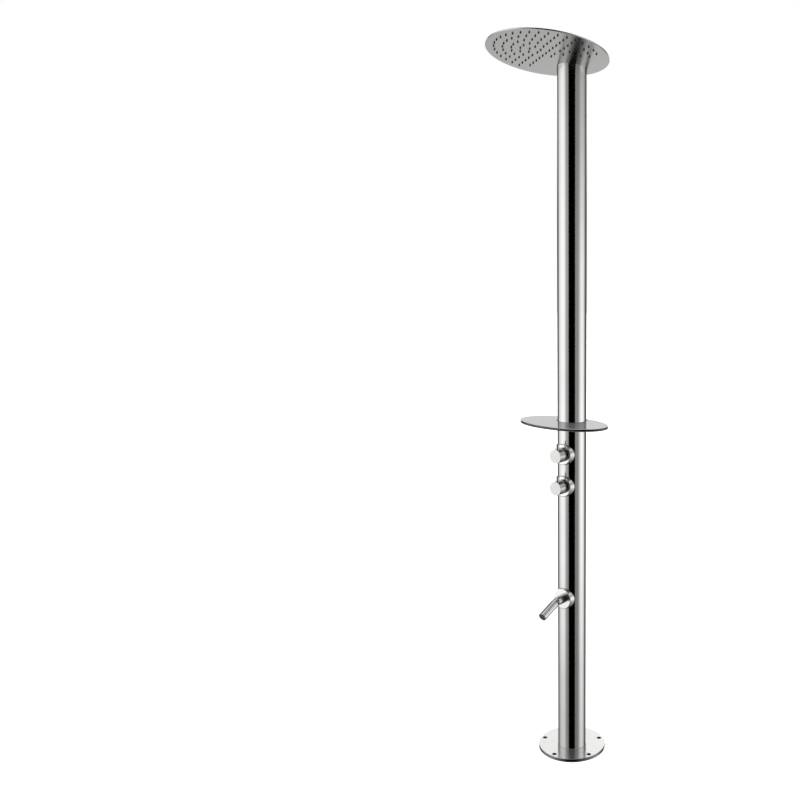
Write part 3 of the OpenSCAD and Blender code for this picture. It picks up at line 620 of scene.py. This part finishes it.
def makeFootSpout():
    size = {k[:-2]: v * mm for k, v in spoutLook.items() if k.endswith("Mm")}
    soft = {k[:-2]: v * mm for k, v in spoutEdges.items()}
    sides = spoutLook["sides"]
    ball, neck, way = size["ball"] / 2, size["neck"] / 2, size["way"] / 2
    stub, inside, bore = size["stub"] / 2, size["stub"] / 2 - size["wall"], size["stubBore"] / 2
    tail, tailEnd, seat = size["tail"] / 2, bossFace - size["tailIn"], size["seat"] / 2
    seatTop = size["ballAt"] - size["seatTop"]
    form = turned(softOutline([
        (bore, tailEnd, 0), (tail, tailEnd, soft["tail"]), (tail, bossFace, 0),
        (stub, bossFace, soft["shoulder"]), (stub, size["end"], soft["stubEnd"]),
        (inside, size["end"], soft["stubLip"]), (inside, seatTop, 0), (seat, seatTop, 0),
        (seat, seatTop - size["seatDeep"], 0), (bore, seatTop - size["seatDeep"], 0)]), sides)
    makePiece("footStub", form, "column", [turnedSteel], ["foot_stub"], toFront(footHeight))
    # Retaining ring: a ball-shaped bore with a flared mouth
    low, top, outside = size["ringFoot"], size["end"] - size["ballAt"], inside - size["ringRun"]
    throatAt, hollow = top - size["mouthDeep"], ball + size["run"]
    grip = [low + (throatAt - low) * k / spoutLook["gripSteps"] for k in range(spoutLook["gripSteps"])]
    ring = [Vector((math.sqrt(hollow ** 2 - z * z), z)) for z in grip]
    mouth = size["mouth"] / 2
    throat = max(mouth - size["mouthDeep"], math.sqrt(hollow ** 2 - throatAt ** 2))
    ring += [Vector((throat, throatAt)), Vector((mouth, top)), Vector((outside - size["ringEdge"], top)),
             Vector((outside, top - size["ringEdge"])), Vector((outside, low))]
    makePiece("ballRetainer", turned(ring, sides), "column", [turnedSteel], ["ball_retainer"],
              ballPlace)
    # Ball and neck, bored for the water
    start, stop = math.asin(way / ball), math.pi - math.asin(neck / ball)
    steps = spoutLook["ballSteps"]
    arc = [Vector((ball * math.sin(a), -ball * math.cos(a)))
           for a in (start + (stop - start) * k / steps for k in range(steps + 1))]
    form = turned(arc + [Vector((neck, size["neckLong"])), Vector((way, size["neckLong"]))], sides)
    makePiece("spoutBall", form, "spout", [ballSteel], ["spout_ball"], alongSpout)
    # Spout tube, its floor on the neck
    tube, wall, low = size["tube"] / 2, size["tubeWall"], size["neckLong"]
    high = low + size["tubeLong"]
    form = turned(softOutline([
        (way, low, soft["tubeRoot"]), (tube, low, soft["tubeHeel"]), (tube, high, soft["tubeEnd"]),
        (tube - wall, high, soft["tubeLip"]), (tube - wall, low + wall, soft["tubeFloor"]),
        (way, low + wall, 0)]), spoutLook["tubeSides"])
    makePiece("spoutTube", form, "spout", [spoutSteel], ["spout_tube"], alongSpout)


makeFootSpout()
print("foot spout made")

# The camera stands right of the front, a little over the taps, and looks slightly down
cameraLook = {"distance": 2.9067, "turnDeg": 36.706, "height": 1.5881, "pitchDeg": 7.956, "lens": 43.471,
              "shiftX": -0.2149, "shiftY": -0.025, "sensor": 36, "seesTo": 50}
turn = math.radians(cameraLook["turnDeg"])
camera = bpy.data.objects.new("camera", bpy.data.cameras.new("camera"))
bpy.context.scene.collection.objects.link(camera)
camera.location = (cameraLook["distance"] * math.sin(turn), -cameraLook["distance"] * math.cos(turn),
                   cameraLook["height"])
camera.rotation_euler = (math.radians(90 - cameraLook["pitchDeg"]), 0, turn)
camera.data.lens, camera.data.sensor_width = cameraLook["lens"], cameraLook["sensor"]
camera.data.shift_x, camera.data.shift_y = cameraLook["shiftX"], cameraLook["shiftY"]
camera.data.clip_end = cameraLook["seesTo"]
bpy.context.scene.camera = camera
bpy.context.scene.view_settings.view_transform = "Standard"

# The studio round the post. "across" goes round it in degrees from the camera's side, where a black
# flag stands: the left softbox is at about -75, the right one at about 86, and 180 is behind the post.
# "up" is degrees over the horizon. Each pair is an angle and a share of the light's strength. The
# softboxes and fills make the post's bands. The rear lights are what the head's underside, the shelf
# and the flange mirror, the ceiling what the rims and level tops mirror from above.
studioLook = {
    "backdropSeen": 1.0, "flagLeft": -27, "flagRight": 25.5, "flagTop": 55, "flagSoft": 1.0, "flagTopSoft": 6,
    "lights": {
        "leftSoftbox": {"strength": 1.08, "across": [(-134, 0), (-114, 0.6), (-84, 1), (-67, 1), (-40, 0)],
                        "up": [(-45, 0.2), (-26.6, 0.57), (-23, 0.9), (-19, 1), (12, 1), (30, 0.9), (50, 0)]},
        "rightSoftbox": {"strength": 1.7, "across": [(45, 0), (79, 1), (93, 1), (127, 0)],
                         "up": [(-45, 0.15), (-26.6, 0.5), (-19, 0.77), (-7, 0.77), (-0.6, 0.62), (2.8, 0.44),
                                (5.6, 0.25), (8, 0.15), (23, 0.15), (26, 1), (31, 1), (34, 0.15), (56, 0.05)]},
        "leftFill": {"strength": 0.62, "across": [(-130, 0), (-112, 1), (-5, 1), (5, 0)],
                     "up": [(-26, 0.53), (-19, 0.8), (-15, 0.94), (-4, 1), (5.6, 1), (9.9, 0.6)]},
        "rightFill": {"strength": 0.46, "across": [(-5, 0), (5, 1), (110, 1), (130, 0)],
                      "up": [(-25, 0.6), (-19, 0.73), (-6, 1), (8, 0.77), (32, 0.7), (42, 0.35)]},
        "backFill": {"strength": 0.14, "across": [(-130, 1), (-112, 0), (110, 0), (130, 1)], "up": [(0, 1)]},
        "rearWall": {"strength": 1.6, "across": [(-158, 0.96), (-142, 0), (142, 0), (158, 1)],
                     "up": [(2, 0), (8, 0.8), (16, 0.84), (21, 0.4), (25, 0)]},
        "rearTop": {"strength": 1.15, "across": [(-176, 0.94), (-167, 0), (167, 0), (176, 1)],
                    "up": [(19, 0), (24, 1), (50, 1)]},
        "rearFloor": {"strength": 0.8, "across": [(-178, 0.9), (-165, 0.75), (-140, 0), (142, 0), (165, 1)],
                      "up": [(-60, 0.5), (-32, 0.62), (-27.5, 1), (-20, 1), (-4, 0)]},
        "ceiling": {"strength": 0.9, "across": [(-180, 1), (80, 0.5), (180, 1)], "up": [(54, 0), (66, 1)]},
    },
}


def makeStudio(look):
    world = bpy.data.worlds.new("studio")
    bpy.context.scene.world = world
    world.use_nodes = True
    tree = world.node_tree
    tree.nodes.clear()
    way = addNode(tree, "ShaderNodeTexCoord").outputs["Generated"]
    toFlag, toRight = (math.sin(turn), -math.cos(turn), 0), (math.cos(turn), math.sin(turn), 0)
    ahead = addNode(tree, "ShaderNodeVectorMath", {"operation": "DOT_PRODUCT"}, _0=way, _1=toFlag)
    aside = addNode(tree, "ShaderNodeVectorMath", {"operation": "DOT_PRODUCT"}, _0=way, _1=toRight)
    around = addNode(tree, "ShaderNodeMath", {"operation": "ARCTAN2"}, _0=aside.outputs["Value"],
                     _1=ahead.outputs["Value"])
    acrossShare = addNode(tree, "ShaderNodeMapRange", _0=around.outputs[0], _1=-math.pi, _2=math.pi)
    height = addNode(tree, "ShaderNodeSeparateXYZ", _0=way)
    rise = addNode(tree, "ShaderNodeMath", {"operation": "ARCSINE"}, _0=height.outputs[2])
    upShare = addNode(tree, "ShaderNodeMapRange", _0=rise.outputs[0], _1=-math.pi / 2, _2=math.pi / 2)
    total = 0.0
    for lightName, light in look["lights"].items():
        shares = []
        for angle, key, full in ((acrossShare, "across", 360), (upShare, "up", 180)):
            ramp = addNode(tree, "ShaderNodeValToRGB", {"label": lightName}, _0=angle.outputs[0])
            ramp.color_ramp.interpolation = "EASE" if key == "across" else "LINEAR"
            stops = ramp.color_ramp.elements
            while len(stops) < len(light[key]):
                stops.new(1.0)
            while len(stops) > len(light[key]):
                stops.remove(stops[-1])
            for stop, (degrees, share) in zip(stops, light[key]):
                stop.position, stop.color = degrees / full + 0.5, (share, share, share, 1)
            shares.append(ramp.outputs[0])
        both = addNode(tree, "ShaderNodeMath", {"operation": "MULTIPLY"}, _0=shares[0], _1=shares[1])
        sums = addNode(tree, "ShaderNodeMath", {"operation": "MULTIPLY_ADD"}, _0=both.outputs[0],
                       _1=light["strength"], _2=total)
        total = sums.outputs[0]
    # The flag is black between its two sides and open over its top
    degrees = addNode(tree, "ShaderNodeMath", {"operation": "DEGREES"}, _0=around.outputs[0])
    middle, half = (look["flagLeft"] + look["flagRight"]) / 2, (look["flagRight"] - look["flagLeft"]) / 2
    off = addNode(tree, "ShaderNodeMath", {"operation": "SUBTRACT"}, _0=degrees.outputs[0], _1=middle)
    away = addNode(tree, "ShaderNodeMath", {"operation": "ABSOLUTE"}, _0=off.outputs[0])
    beside = addNode(tree, "ShaderNodeMapRange", {"interpolation_type": "SMOOTHSTEP"}, _0=away.outputs[0],
                     _1=half - look["flagSoft"], _2=half + look["flagSoft"])
    over = addNode(tree, "ShaderNodeMapRange", {"interpolation_type": "SMOOTHSTEP"}, _0=rise.outputs[0],
                   _1=math.radians(look["flagTop"] - look["flagTopSoft"]),
                   _2=math.radians(look["flagTop"] + look["flagTopSoft"]))
    past = addNode(tree, "ShaderNodeMath", {"operation": "MAXIMUM"}, _0=beside.outputs[0], _1=over.outputs[0])
    unflagged = addNode(tree, "ShaderNodeMath", {"operation": "MULTIPLY"}, _0=total, _1=past.outputs[0])
    lit = addNode(tree, "ShaderNodeBackground", Strength=unflagged.outputs[0], Color=(1, 1, 1, 1))
    plain = addNode(tree, "ShaderNodeBackground", Strength=look["backdropSeen"], Color=(1, 1, 1, 1))
    seen = addNode(tree, "ShaderNodeLightPath").outputs["Is Camera Ray"]
    mix = addNode(tree, "ShaderNodeMixShader", _0=seen, _1=lit.outputs[0], _2=plain.outputs[0])
    addNode(tree, "ShaderNodeOutputWorld", _0=mix.outputs[0])


makeStudio(studioLook)

# A pale floor under one wide light straight overhead, bright enough to melt into the backdrop
floorLook = {"radius": 20, "sides": 96, "overheadStrength": 4.6, "overheadWideDeg": 70}
form = bmesh.new()
angles = [2 * math.pi * k / floorLook["sides"] for k in range(floorLook["sides"])]
form.faces.new([form.verts.new((floorLook["radius"] * math.cos(a), floorLook["radius"] * math.sin(a), 0))
                for a in angles])
floorMesh = bpy.data.meshes.new("floor")
form.to_mesh(floorMesh)
form.free()
floorMesh.materials.append(grainedStuff("paleFloor", {
    "bright": "#f2f2f1", "dim": "#eeeeed", "grainMm": 250, "roughLow": 0.8, "roughHigh": 0.9, "relief": 0.0,
    "ior": 1.45}))
floor = bpy.data.objects.new("floor", floorMesh)
bpy.context.scene.collection.objects.link(floor)
floor.visible_glossy = False  # the steels mirror the studio's lower lights in its place

overhead = bpy.data.objects.new("overhead", bpy.data.lights.new("overhead", "SUN"))
overhead.data.energy = floorLook["overheadStrength"]
overhead.data.angle = math.radians(floorLook["overheadWideDeg"])
overhead.visible_glossy = False
bpy.context.scene.collection.objects.link(overhead)
print("studio made")
